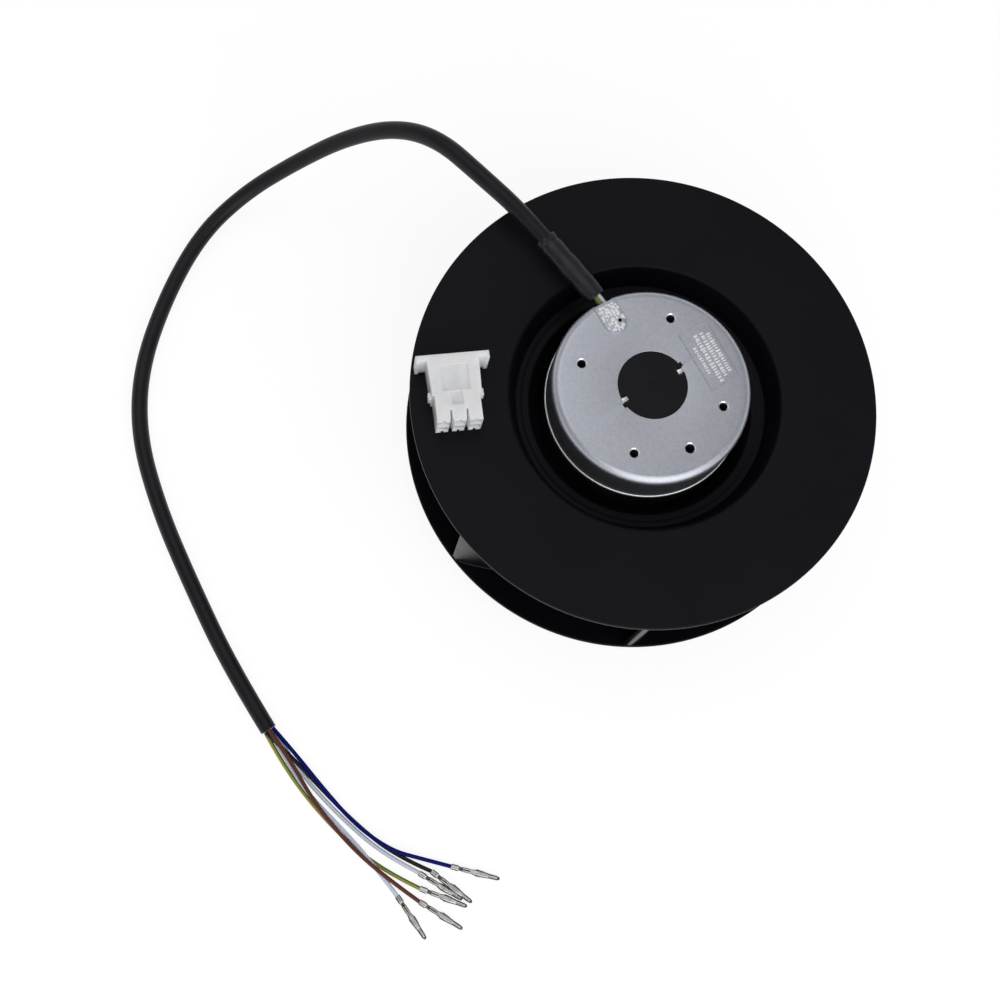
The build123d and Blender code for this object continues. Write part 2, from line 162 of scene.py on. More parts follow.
# Cable route: the same points as the part's, in metres
outlet_level = 0.0782
sleeve_diameter = 0.007
collar_diameter = 0.0080
lead_diameter = 0.0017
stripe_turn = 0.34
exit_points = [(-0.0262, 0.0279, 0.0780), (-0.0303, 0.0310, 0.0782)]
collar_points = [(-0.0305, 0.0311, 0.0782), (-0.0557, 0.0476, 0.0790)]
sleeve_points = [
    (-0.0560, 0.0478, 0.0790), (-0.0694, 0.0562, 0.0804), (-0.0891, 0.0659, 0.0810),
    (-0.1099, 0.0779, 0.0770), (-0.1291, 0.0828, 0.0660), (-0.1495, 0.0804, 0.0485),
    (-0.1697, 0.0719, 0.0280), (-0.1890, 0.0589, 0.0105), (-0.2022, 0.0368, 0.0046),
    (-0.2076, 0.0058, 0.0037), (-0.2076, -0.0297, 0.0037), (-0.1987, -0.0594, 0.0037),
    (-0.1800, -0.0876, 0.0037), (-0.1577, -0.1137, 0.0037), (-0.1306, -0.1432, 0.0037),
    (-0.1078, -0.1632, 0.0037),
]
sleeve_swell = [0.98, 1, 1.05, 1.1, 1.06, 1, 0.98, 0.97, 0.97, 0.97, 0.98, 0.99, 0.99, 1, 1, 0.98]

# The collar's form, in millimetres and in shares of its radius
collar_overhang = 1.6
collar_broad, collar_flat = 1.13, 0.86
crease_place, crease_width, crease_depth = 3.2, 0.9, 0.1
taper_length, taper_depth = 4.0, 0.14

# Each lead's route from the sleeve's end to its contact, and the contact's heading in degrees
lead_routes = {
    "green_yellow": [
        (-0.1086, -0.1647, 0.0027), (-0.0992, -0.1737, 0.00095), (-0.0845, -0.1852, 0.00095),
        (-0.0660, -0.1963, 0.00095), (-0.0462, -0.2045, 0.00095), (-0.0297, -0.2072, 0.0013),
    ],
    "brown": [
        (-0.1075, -0.1634, 0.0057), (-0.0956, -0.1726, 0.0058), (-0.0802, -0.1871, 0.0048),
        (-0.0623, -0.1987, 0.0047), (-0.0451, -0.2067, 0.0042), (-0.0284, -0.2123, 0.0020),
    ],
    "blue": [
        (-0.1063, -0.1621, 0.0047), (-0.0948, -0.1692, 0.0040), (-0.0795, -0.1796, 0.0031),
        (-0.0626, -0.1901, 0.0030), (-0.0455, -0.1960, 0.0030), (-0.0325, -0.1957, 0.0024),
        (-0.0199, -0.1953, 0.0013),
    ],
    "black": [
        (-0.1086, -0.1647, 0.0047), (-0.0948, -0.1713, 0.0031), (-0.0795, -0.1803, 0.00095),
        (-0.0620, -0.1897, 0.00095), (-0.0435, -0.1973, 0.00095), (-0.0272, -0.1995, 0.0038),
    ],
    "white_upper": [
        (-0.1063, -0.1621, 0.0027), (-0.0919, -0.1749, 0.00095), (-0.0752, -0.1854, 0.00095),
        (-0.0560, -0.1949, 0.00095), (-0.0425, -0.1992, 0.00095), (-0.0317, -0.2014, 0.0013),
    ],
    "white_lower": [
        (-0.1075, -0.1634, 0.00165), (-0.0982, -0.1717, 0.00095), (-0.0865, -0.1823, 0.00275),
        (-0.0695, -0.1919, 0.0029), (-0.0528, -0.2017, 0.0030), (-0.0377, -0.2126, 0.0013),
    ],
}
contact_headings = dict(zip(lead_routes, (-4.5, -15.6, 1.9, -20.8, -14.9, -39.5)))
exit_order = ["white_upper", "green_yellow", "black", "blue", "brown", "white_lower"]
exit_spread = 0.0015

# A contact along its axis: place, half width, half height, squareness and depth of the seam
contact_stations = [
    (0.0, 1.15, 1.10, 0.3, 0.2), (2.7, 1.20, 1.15, 0.3, 0.2), (3.6, 0.85, 0.80, 0.4, 0.1),
    (4.3, 0.82, 0.78, 0.4, 0.1), (5.0, 1.00, 0.90, 0.4, 0.5), (7.4, 1.00, 0.90, 0.4, 0.5),
    (8.4, 0.90, 0.84, 0.4, 0.2), (10.4, 1.25, 1.02, 0.3, 0.1), (12.6, 1.34, 1.06, 0.3, 0.1),
    (14.6, 1.15, 1.00, 0.3, 0.1), (16.4, 0.98, 0.92, 0.2, 0.1), (19.0, 0.92, 0.88, 0.1, 0.1),
    (20.0, 0.78, 0.74, 0.1, 0.1), (20.45, 0.52, 0.52, 0.1, 0.05), (20.65, 0.22, 0.22, 0.1, 0.0),
]
contact_length = contact_stations[-1][0]
# Painted shade on each contact: its necks, its tip, its seam and its sides outside a lit top band
neck_start, neck_end = 3.1, 4.8
pin_start, tip_start = 15.8, 19.6
seam_half_angle = radians(9)
lit_top_half_angle = radians(40)
pin_lit_top_half_angle = radians(22)
lance_place = 12.2
lance_size = (3.6, 0.22, 0.9)
lance_offset = 1.32
lance_slant = radians(4)

# Camera, from the photograph
camera_place = Vector((-0.06363, -0.23143, 0.69503))
camera_azimuth = radians(-6.278)
camera_elevation = radians(74.494)
camera_roll = radians(22.754)
camera_lens = 59.684

# Studio: white walls up to a height on the unit sphere, and a plainer ceiling above them
white_to_height = 0.12
ceiling_from_height = 0.35
ceiling_level = 0.40
floor_half_size = 6.0
floor_drop = 0.0002
floor_grey = 0.2
floor_glow = 0.86
lamp_target = (0, 0, 0.05)


def show(name, data):
    """An object in the scene, made of some data."""
    made = bpy.data.objects.new(name, data)
    bpy.context.scene.collection.objects.link(made)
    return made


def sharpen(piece, smooth=30):
    """Smooth shading up to an angle in degrees."""
    piece.data.polygons.foreach_set("use_smooth", [True] * len(piece.data.polygons))
    piece.data.set_sharp_from_angle(angle=radians(smooth))


def make_piece(name, bm, material, body=None, smooth=30, node=None):
    """A piece in metres from a bmesh in millimetres, which is used up. It rides on a body."""
    bmesh.ops.recalc_face_normals(bm, faces=bm.faces)
    bmesh.ops.scale(bm, vec=(MM, MM, MM), verts=bm.verts)
    mesh = bpy.data.meshes.new(name)
    bm.to_mesh(mesh)
    bm.free()
    piece = show(name, mesh)
    sharpen(piece, smooth)
    mesh.materials.append(material)
    if body:
        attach(piece, body)
    if node:
        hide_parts(node)
    return piece


def bake_modifiers(piece):
    """Applies every modifier of a piece to its mesh."""
    graph = bpy.context.evaluated_depsgraph_get()
    mesh = bpy.data.meshes.new_from_object(piece.evaluated_get(graph))
    piece.modifiers.clear()
    piece.data = mesh


def boolean(piece, shapes, operation="DIFFERENCE"):
    """Cuts the shapes of a bmesh out of a piece, or joins them to it."""
    other = make_piece("other", shapes, piece.data.materials[0])
    modifier = piece.modifiers.new("boolean", "BOOLEAN")
    modifier.operation = operation
    modifier.solver = "EXACT"
    modifier.object = other
    bake_modifiers(piece)
    bpy.data.objects.remove(other)


def about_z(angle):
    """A turn about the vertical axis."""
    return Matrix.Rotation(angle, 4, "Z")


def polar(radius, angle):
    """A point in the plane from a radius and an angle."""
    return radius * cos(angle), radius * sin(angle)


def rounded(corners, steps=6):
    """Profile points from corners, each (radius, height, fillet), with the fillets as arcs."""
    points = []
    count = len(corners)
    for index, (x, y, fillet) in enumerate(corners):
        corner = Vector((x, y))
        before = Vector(corners[index - 1][:2]) - corner
        after = Vector(corners[(index + 1) % count][:2]) - corner
        turn = before.angle(after) if fillet else pi
        if not fillet or turn > pi - 0.02:
            points.append(corner)
            continue
        reach = min(fillet / tan(turn / 2), 0.48 * min(before.length, after.length))
        radius = reach * tan(turn / 2)
        back, on = before.normalized(), after.normalized()
        centre = corner + (back + on).normalized() * (radius / sin(turn / 2))
        start = corner + back * reach - centre
        end = corner + on * reach - centre
        sweep = start.angle_signed(end)
        for step in range(steps + 1):
            points.append(centre + Matrix.Rotation(-sweep * step / steps, 2) @ start)
    return points


def on_face(profile):
    """A profile raised to the flange's face, from heights above and below it."""
    return [(r, face_height + z) for r, z in profile]


def revolve(bm, profile, segments, centre=(0, 0)):
    """Adds a ring-shaped solid of revolution about a vertical axis."""
    rings = []
    for step in range(segments):
        across, along = polar(1.0, FULL_TURN * step / segments)
        spots = [(centre[0] + r * across, centre[1] + r * along, z) for r, z in profile]
        rings.append([bm.verts.new(spot) for spot in spots])
    count = len(profile)
    for here, there in zip(rings, rings[1:] + rings[:1]):
        for index in range(count):
            after = (index + 1) % count
            bm.faces.new((here[index], there[index], there[after], here[after]))


def plug(bm, profile, segments, centre=(0, 0)):
    """Adds a solid of revolution whose first and last profile points lie on its axis."""
    angle_step = FULL_TURN / segments
    foot = bm.verts.new((*centre, profile[0][1]))
    head = bm.verts.new((*centre, profile[-1][1]))
    rings = []
    for r, z in profile[1:-1]:
        ring = []
        for step in range(segments):
            across, along = polar(r, step * angle_step)
            ring.append(bm.verts.new((centre[0] + across, centre[1] + along, z)))
        rings.append(ring)
    for step in range(segments):
        after = (step + 1) % segments
        bm.faces.new((foot, rings[0][after], rings[0][step]))
        for low, high in zip(rings, rings[1:]):
            bm.faces.new((low[step], low[after], high[after], high[step]))
        bm.faces.new((rings[-1][step], rings[-1][after], head))


def skin(bm, rings):
    """Adds the faces between each closed ring of vertices and the next, and returns them."""
    faces = []
    count = len(rings[0])
    for low, high in zip(rings, rings[1:]):
        for index in range(count):
            after = (index + 1) % count
            faces.append(bm.faces.new((low[index], low[after], high[after], high[index])))
    return faces


def bevel_edges(bm, edges, width):
    """Rounds edges in three steps."""
    bmesh.ops.bevel(bm, geom=edges, offset=width, segments=3, profile=0.5, affect="EDGES")


def prism(bm, outline, bottom, top, bevel=0.0, place=Matrix()):
    """Adds a prism on an outline of (x, y) points, with its top edge rounded."""
    low = [bm.verts.new(place @ Vector((x, y, bottom))) for x, y in outline]
    high = [bm.verts.new(place @ Vector((x, y, top))) for x, y in outline]
    bm.faces.new(list(reversed(low)))
    lid = bm.faces.new(high)
    skin(bm, [low, high])
    if bevel:
        bevel_edges(bm, list(lid.edges), bevel)


def block(bm, size, centre, place=Matrix(), bevel=0.0):
    """Adds a box of a size about a centre, with all its edges rounded."""
    made = bmesh.ops.create_cube(bm, size=1.0)["verts"]
    bmesh.ops.scale(bm, vec=size, verts=made)
    bmesh.ops.translate(bm, vec=centre, verts=made)
    bmesh.ops.transform(bm, matrix=place, verts=made)
    if bevel:
        edges = dict.fromkeys(edge for vert in made for edge in vert.link_edges)
        bevel_edges(bm, list(edges), bevel)


def ridge(bm, corners, width, height, place):
    """Adds a raised line with sloping sides to the face, round a closed path of corners."""
    count = len(corners)
    loops = [[] for _ in range(4)]
    offsets = [(-width / 2, -0.1), (-width / 4, height), (width / 4, height), (width / 2, -0.1)]
    for index, corner in enumerate(corners):
        here = Vector(corner)
        before = (here - Vector(corners[index - 1])).normalized()
        after = (Vector(corners[(index + 1) % count]) - here).normalized()
        side = (Vector((before.y, -before.x)) + Vector((after.y, -after.x))) / 2
        side /= max(side.length_squared, 0.2)
        for loop, (shift, rise) in zip(loops, offsets):
            spot = here + side * shift
            loop.append(bm.verts.new(place @ Vector((*spot, face_height + rise))))
    skin(bm, loops + loops[:1])


def add_node(nodes, kind, **values):
    """A shader node of a kind, with its inputs set."""
    made = nodes.new("ShaderNode" + kind)
    set_inputs(made, values)
    return made


def set_inputs(node, values):
    """Sets inputs by name, with a low line for each space in it."""
    for socket, value in values.items():
        node.inputs[socket.replace("_", " ")].default_value = value


def wire(source, output, target, socket):
    """Leads one node's output to another node's input."""
    source.id_data.links.new(source.outputs[output], target.inputs[socket])


def two_colours(nodes, first, second, start, end):
    """A ramp from one colour to another."""
    ramp = add_node(nodes, "ValToRGB")
    for stop, position, colour in zip(ramp.color_ramp.elements, (start, end), (first, second)):
        stop.position = position
        stop.color = (*colour, 1)
    return ramp


def surface(
    name, colour, second, roughness, metallic=0.0, shine=0.5, mottle_scale=60.0, grain_scale=2500.0,
    grain=0.1, grain_depth=0.00005, roughness_spread=0.08, **sockets,
):
    """A procedural finish: two colours in soft mottling, a fine grain, and uneven gloss."""
    material = bpy.data.materials.new(name)
    material.use_nodes = True
    nodes = material.node_tree.nodes
    shader = nodes["Principled BSDF"]
    set_inputs(shader, {"Metallic": metallic, "Specular_IOR_Level": shine, **sockets})
    place = add_node(nodes, "TexCoord")
    mottle = add_node(nodes, "TexNoise", Scale=mottle_scale, Detail=4.0)
    wire(place, "Object", mottle, "Vector")
    ramp = two_colours(nodes, colour, second, 0.35, 0.65)
    wire(mottle, "Fac", ramp, "Fac")
    wire(ramp, "Color", shader, "Base Color")
    low = max(0.0, roughness - roughness_spread)
    high = min(1.0, roughness + roughness_spread)
    gloss = add_node(nodes, "MapRange", To_Min=low, To_Max=high)
    wire(mottle, "Fac", gloss, "Value")
    wire(gloss, "Result", shader, "Roughness")
    fine = add_node(nodes, "TexNoise", Scale=grain_scale, Detail=3.0)
    wire(place, "Object", fine, "Vector")
    bump = add_node(nodes, "Bump", Strength=grain, Distance=grain_depth)
    wire(fine, "Fac", bump, "Height")
    wire(bump, "Normal", shader, "Normal")
    return material


def striped(material, first, second):
    """Paints a tube's material in two halves that run along it."""
    nodes = material.node_tree.nodes
    place = add_node(nodes, "TexCoord")
    split = add_node(nodes, "SeparateXYZ")
    turned = add_node(nodes, "Math")
    turned.inputs[1].default_value = stripe_turn
    wrapped = add_node(nodes, "Math")
    wrapped.operation = "FRACT"
    ramp = two_colours(nodes, first, second, 0.0, 0.52)
    ramp.color_ramp.interpolation = "CONSTANT"
    wire(place, "UV", split, "Vector")
    wire(split, "Y", turned, 0)
    wire(turned, 0, wrapped, 0)
    wire(wrapped, 0, ramp, "Fac")
    wire(ramp, "Color", nodes["Principled BSDF"], "Base Color")
    return material


def wound(material, scale, depth):
    """Adds fine level lines to a material, as stacked sheets or laid wires show."""
    nodes = material.node_tree.nodes
    place = add_node(nodes, "TexCoord")
    wave = add_node(nodes, "TexWave", Scale=scale, Distortion=0.6)
    wave.bands_direction = "Z"
    bump = add_node(nodes, "Bump", Distance=depth, Strength=0.8)
    wire(place, "Object", wave, "Vector")
    wire(wave, "Fac", bump, "Height")
    wire(nodes["Bump"], "Normal", bump, "Normal")
    wire(bump, "Normal", nodes["Principled BSDF"], "Normal")
    return material


def plain_metal(name, colour, roughness, second=None):
    """A bare metal of one colour, or two that are close."""
    return surface(name, colour, second or colour, roughness, metallic=1.0)


cast_grain = {"mottle_scale": 900.0, "grain_scale": 2200.0, "grain": 0.35, "grain_depth": 0.00012}
mould_grain = {"mottle_scale": 40.0, "grain_scale": 1600.0, "grain": 0.25}
tin_grain = {"metallic": 1.0, "mottle_scale": 700.0, "grain_scale": 3000.0}
cast_metal = surface(
    "cast_aluminium", (0.46, 0.48, 0.54), (0.52, 0.54, 0.59), 0.40, 1.0, **cast_grain
)
# Painted shade: a dark copy of the cast aluminium for the flange's outer wall
wall_painted_shade = surface(
    "cast_aluminium_painted_wall_shade", (0.12, 0.125, 0.14), (0.15, 0.155, 0.17), 0.5, 1.0, **cast_grain
)
machined_metal = plain_metal("machined_aluminium", (0.75, 0.76, 0.78), 0.25, (0.68, 0.69, 0.71))
# Painted highlight: a near-white metal for the bead, standing in for the bright line along the
# cup's lip
lip_painted_highlight = surface("rolled_edge_painted_highlight", (0.90, 0.91, 0.93), (0.82, 0.83, 0.85), 0.35, 0.65)
# Painted highlight: a paler metal than the casting for the raised ribs and dimples
relief_painted_highlight = surface("marks_painted_highlight", (0.86, 0.87, 0.90), (0.78, 0.79, 0.82), 0.35, 0.4)
black_polymer = surface(
    "black_polymer", (0.0026, 0.0027, 0.0050), (0.0034, 0.0036, 0.0062), 0.5, shine=0.13,
    **mould_grain,
)
blade_polymer = surface(
    "blade_polymer", (0.0034, 0.0035, 0.0062), (0.0044, 0.0046, 0.0078), 0.42, shine=0.28,
    **mould_grain,
)
cap_polymer = surface(
    "cap_polymer", (0.0036, 0.0034, 0.0054), (0.0048, 0.0046, 0.0068), 0.45, shine=0.18,
)
rotor_steel = surface(
    "rotor_steel", (0.004, 0.004, 0.005), (0.007, 0.007, 0.008), 0.5, mottle_scale=120.0,
    shine=0.15,
)
lamination_steel = wound(plain_metal("lamination_steel", (0.30, 0.30, 0.32), 0.4), 320.0, 0.0001)
winding_copper = wound(
    plain_metal("winding_copper", (0.60, 0.25, 0.10), 0.35, (0.5, 0.2, 0.08)), 240.0, 0.0003
)
bearing_steel = plain_metal("bearing_steel", (0.68, 0.68, 0.70), 0.18)
shaft_steel = wound(plain_metal("shaft_steel", (0.52, 0.52, 0.54), 0.28), 700.0, 0.00002)
sleeve_black = surface(
    "sleeve_black", (0.0042, 0.0041, 0.0068), (0.0080, 0.0078, 0.0112), 0.42, mottle_scale=90.0,
    grain_scale=700.0, grain=0.35, grain_depth=0.0002, shine=0.25,
)
collar_black = surface(
    "collar_black", (0.0072, 0.0074, 0.0102), (0.0115, 0.0120, 0.0155), 0.3, mottle_scale=200.0,
    grain_scale=500.0, grain=0.3, grain_depth=0.0003, shine=0.35,
)
nylon = surface(
    "housing_nylon", (0.86, 0.89, 0.96), (0.92, 0.94, 0.98), 0.34, mottle_scale=180.0,
    grain_scale=1200.0, grain=0.08, Subsurface_Weight=0.7, Subsurface_Radius=(0.9, 0.95, 1.0),
    Subsurface_Scale=0.004,
)
tinned = surface("tinned_contact", (0.66, 0.66, 0.65), (0.42, 0.42, 0.41), 0.38, **tin_grain)
# Painted shade: a dark copy of the tinned metal for the contacts' sides, seam, necks and tips
tinned_painted_shade = surface(
    "tinned_contact_painted_shade", (0.05, 0.05, 0.05), (0.14, 0.14, 0.13), 0.35, **tin_grain
)
# Painted shade: near-black metal inside the tapped holes and the vent
hole_painted_shade = surface(
    "tapped_bore_painted_shade", (0.010, 0.010, 0.011), (0.016, 0.016, 0.017), 0.6, shine=0.1
)
cavity_shade = surface(
    "cavity_shade", (0.16, 0.17, 0.19), (0.22, 0.23, 0.25), 0.6, shine=0.1
)
insulation = {
    "green_yellow": striped(
        surface("insulation_green_yellow", (0.1, 0.2, 0.02), (0.1, 0.2, 0.02), 0.35),
        (0.065, 0.185, 0.014), (0.34, 0.29, 0.028),
    )
}
for dye, darker, paler, dullness, shine in (
    ("brown", (0.095, 0.026, 0.018), (0.12, 0.034, 0.024), 0.4, 0.25),
    ("blue", (0.001, 0.003, 0.11), (0.001, 0.006, 0.15), 0.4, 0.1),
    ("black", (0.002, 0.002, 0.002), (0.004, 0.004, 0.004), 0.35, 0.3),
    ("white", (0.60, 0.65, 0.79), (0.66, 0.70, 0.82), 0.4, 0.3),
):
    insulation[dye] = surface(
        f"insulation_{dye}", darker, paler, dullness, shine=shine
    )


def dye_of(lead):
    """The colour of a lead's insulation, which both white leads share."""
    return "white" if lead.startswith("white") else lead


def make_back_disc():
    """The flat back plate, its stepped recess and the pot that grips the rotor."""
    corners = [
        (disc_radius, disc_top, 0.7), (recess_radius + 0.9, disc_top, 1.8),
        (ledge_outer_radius, ledge_height, 0.8), (ledge_outer_radius - 2.0, ledge_height, 0.8),
        (ledge_outer_radius - 3.0, ledge_height - ledge_step, 0.8),
        (ledge_inner_radius, ledge_height - ledge_step, 1.2), (pot_seat_radius, funnel_height, 0.8),
        (pot_seat_radius, rotor_base, 0.0), (pot_mouth_radius, rotor_base, 0.3),
        (pot_mouth_radius, pot_bottom, 0.5), (pot_seat_radius + pot_wall, pot_bottom, 1.2),
        (pot_seat_radius + pot_wall, funnel_height - 1.0, 2.0),
        (ledge_inner_radius + 1.0, ledge_height - pot_wall, 1.5),
        (under_ledge_radius, ledge_height - pot_wall, 1.5),
        (under_recess_radius, disc_top - disc_wall, 1.5), (disc_radius, disc_top - disc_wall, 0.5),
    ]
    bm = bmesh.new()
    revolve(bm, rounded(corners), 256)
    make_piece(
        "back_disc", bm, black_polymer, "impeller", 50, "impeller_back_disc"
    )


def cone_height(radius):
    """Height of the shroud's upper face at a radius, out on the cone."""
    return rim_height - (shroud_radius - radius) * tan(shroud_slope)


def make_shroud():
    """The cone from the rim that rounds down into the inlet collar."""
    mouth_radius = inlet_radius + mouth_round

    def mouth(radius):
        sweep = pi / 2 - shroud_slope
        angles = [shroud_slope + sweep * step / mouth_steps for step in range(mouth_steps + 1)]
        return [
            (mouth_radius - radius * sin(angle), collar_height + radius * cos(angle))
            for angle in angles
        ]

    drop = shroud_wall / cos(shroud_slope)
    lip_outside = inlet_radius + shroud_wall
    lip = rounded([
        (inlet_radius, inlet_lip_height, 0.0), (inlet_radius, 0.0, 0.5), (lip_outside, 0.0, 0.5),
        (lip_outside, inlet_lip_height, 0.0),
    ])
    rim_start = shroud_radius - shroud_rim_width
    rim = rounded([
        (rim_start, cone_height(rim_start) - drop, 0.0), (shroud_radius, rim_height - drop, 0.8),
        (shroud_radius, rim_height, 0.5), (rim_start, cone_height(rim_start), 0.0),
    ])
    bm = bmesh.new()
    inside = reversed(mouth(mouth_round - shroud_wall))
    revolve(bm, [*mouth(mouth_round), *lip, *inside, *rim], 256)
    make_piece("shroud", bm, black_polymer, "impeller", 50, "impeller_shroud")


def blade_foot(radius):
    """Height of a blade's lower edge: on the cone, or up the slanting leading edge."""
    throat_radius = inlet_radius + mouth_round * (1 - sin(shroud_slope))
    if radius >= throat_radius:
        return cone_height(radius)
    throat = cone_height(throat_radius)
    share = (throat_radius - radius) / (throat_radius - blade_root_radius)
    return throat + share * (disc_top - disc_wall - throat)


def blade_outline(steps=26, nose_steps=6):
    """A blade's section in plan: two arcs joined by rounded ends, with its tip on the X axis."""
    tip_cosine, root_cosine = cos(blade_outlet_angle), cos(blade_inlet_angle)
    arc = (blade_tip_radius**2 - blade_root_radius**2) / (
        2 * (blade_tip_radius * tip_cosine - blade_root_radius * root_cosine)
    )
    centre = Vector((blade_tip_radius - arc * tip_cosine, -arc * sin(blade_outlet_angle)))
    half = blade_wall / 2
    reach = (arc**2 + centre.length_squared - blade_root_radius**2) / (2 * arc * centre.length)
    tip = atan2(-centre.y, blade_tip_radius - centre.x)
    root = atan2(-centre.y, -centre.x) - acos(reach)
    tip += half / arc
    root -= half / arc

    def side(radius, start, end):
        angles = [start + (end - start) * step / steps for step in range(steps + 1)]
        return [centre + Vector(polar(radius, angle)) for angle in angles]

    def nose(angle, start):
        middle = centre + Vector(polar(arc, angle))
        turns = [start + pi * step / nose_steps for step in range(1, nose_steps)]
        return [middle + Vector(polar(half, turn)) for turn in turns]

    return [
        *side(arc + half, tip, root), *nose(root, root), *side(arc - half, root, tip),
        *nose(tip, tip + pi),
    ]


def inside_tip(place):
    """A place in plan, drawn in to the blades' tip radius where it lies beyond it."""
    return place * min(1.0, blade_tip_radius / place.length)


def make_blades():
    """Seven blades with a small fillet where each meets the disc and the shroud."""
    outline = blade_outline()
    count = len(outline)
    outward = []
    for index in range(count):
        along = outline[(index + 1) % count] - outline[index - 1]
        outward.append(Vector((along.y, -along.x)).normalized())
    underside = disc_top - disc_wall
    levels = [(True, *fillet) for fillet in blade_fillets]
    levels += [(False, *fillet) for fillet in reversed(blade_fillets)]
    for number in range(blade_count):
        bm = bmesh.new()
        rings = []
        for at_foot, rise, flare in levels:
            ring = []
            for point, normal in zip(outline, outward):
                place = inside_tip(point + normal * flare)
                highest = underside - blade_least_height + rise * 0.1
                foot = min(blade_foot(point.length) + rise, highest)
                ring.append(bm.verts.new((*place, foot if at_foot else underside - rise)))
            rings.append(ring)
        skin(bm, rings)
        bm.faces.new(rings[-1])
        bm.faces.new(list(reversed(rings[0])))
        turn = about_z(blade_first_tip + number * 2 * pi / blade_count)
        bmesh.ops.transform(bm, matrix=turn, verts=bm.verts)
        name = f"blade_{number + 1}"
        make_piece(name, bm, blade_polymer, "impeller", 50, f"impeller_{name}")


def make_rotor():
    """The rotor's drawn can, with rounded edges and a stiffening step in its base."""
    corners = [
        (can_bore_radius, rotor_base, 0.0), (12.0, rotor_base, 0.6),
        (14.0, rotor_base + can_step_height, 0.6), (26.0, rotor_base + can_step_height, 0.6),
        (28.0, rotor_base, 0.6), (cup_radius, rotor_base, 1.5),
        (cup_radius, lip_height - lip_rise, 0.4), (can_inner_radius, lip_height - lip_rise, 0.4),
        (can_inner_radius, rotor_base + can_wall, 1.0), (hub_radius, rotor_base + can_wall, 0.5),
        (hub_radius, rotor_base + hub_height, 0.4), (collar_radius, rotor_base + hub_height, 0.3),
        (collar_radius, rotor_base + collar_end, 0.1),
        (can_bore_radius, rotor_base + collar_end, 0.0),
    ]
    bm = bmesh.new()
    revolve(bm, rounded(corners), 192)
    make_piece("rotor_can_drawn", bm, rotor_steel, "impeller", 30, "rotor_can")


def at_screws(bm, add, segments, profile):
    """Adds a shape at the four screw holes and the earth screw's, from a core radius each."""
    places = [(polar(screw_circle_radius, k * pi / 2), screw_core_radius) for k in range(4)]
    places.append((polar(screw_circle_radius, -pi / 4), earth_core_radius))
    for centre, radius in places:
        add(bm, on_face(profile(radius)), segments, centre)


def bore(radius, top=1.0, chamfer=0.0):
    """A bore's profile, which may widen at the face."""
    foot = [(0, -bore_depth), (radius, -bore_depth)]
    if chamfer:
        foot += [(radius, -chamfer), (radius + chamfer, 0)]
    return [*foot, (radius + chamfer, top), (0, top)]


def boss(_):
    """The boss under the flange's wall, the same round each bore."""
    top = 0.3 - flange_wall
    return [(0, -boss_depth), (boss_radius, -boss_depth), (boss_radius, top), (0, top)]


def thread(radius):
    """The zigzag lining of a tapped hole."""
    turns = int(thread_length / screw_pitch)
    zigzag = [(radius + 0.08, -thread_depth)]
    for turn in range(turns):
        foot = turn * screw_pitch - thread_depth
        zigzag += [(radius, foot), (radius - thread_bite, foot + screw_pitch / 2)]
    end = turns * screw_pitch - thread_depth
    return [*zigzag, (radius, end), (radius + 0.08, end)]


def bright_mouth(radius):
    """The thin bright cone at a hole's chamfer."""
    rim = [(radius, -0.47), (radius, -0.44), (radius + 0.44, 0.02)]
    return [*rim, (radius + 0.5, 0.02), (radius + 0.5, -0.1)]


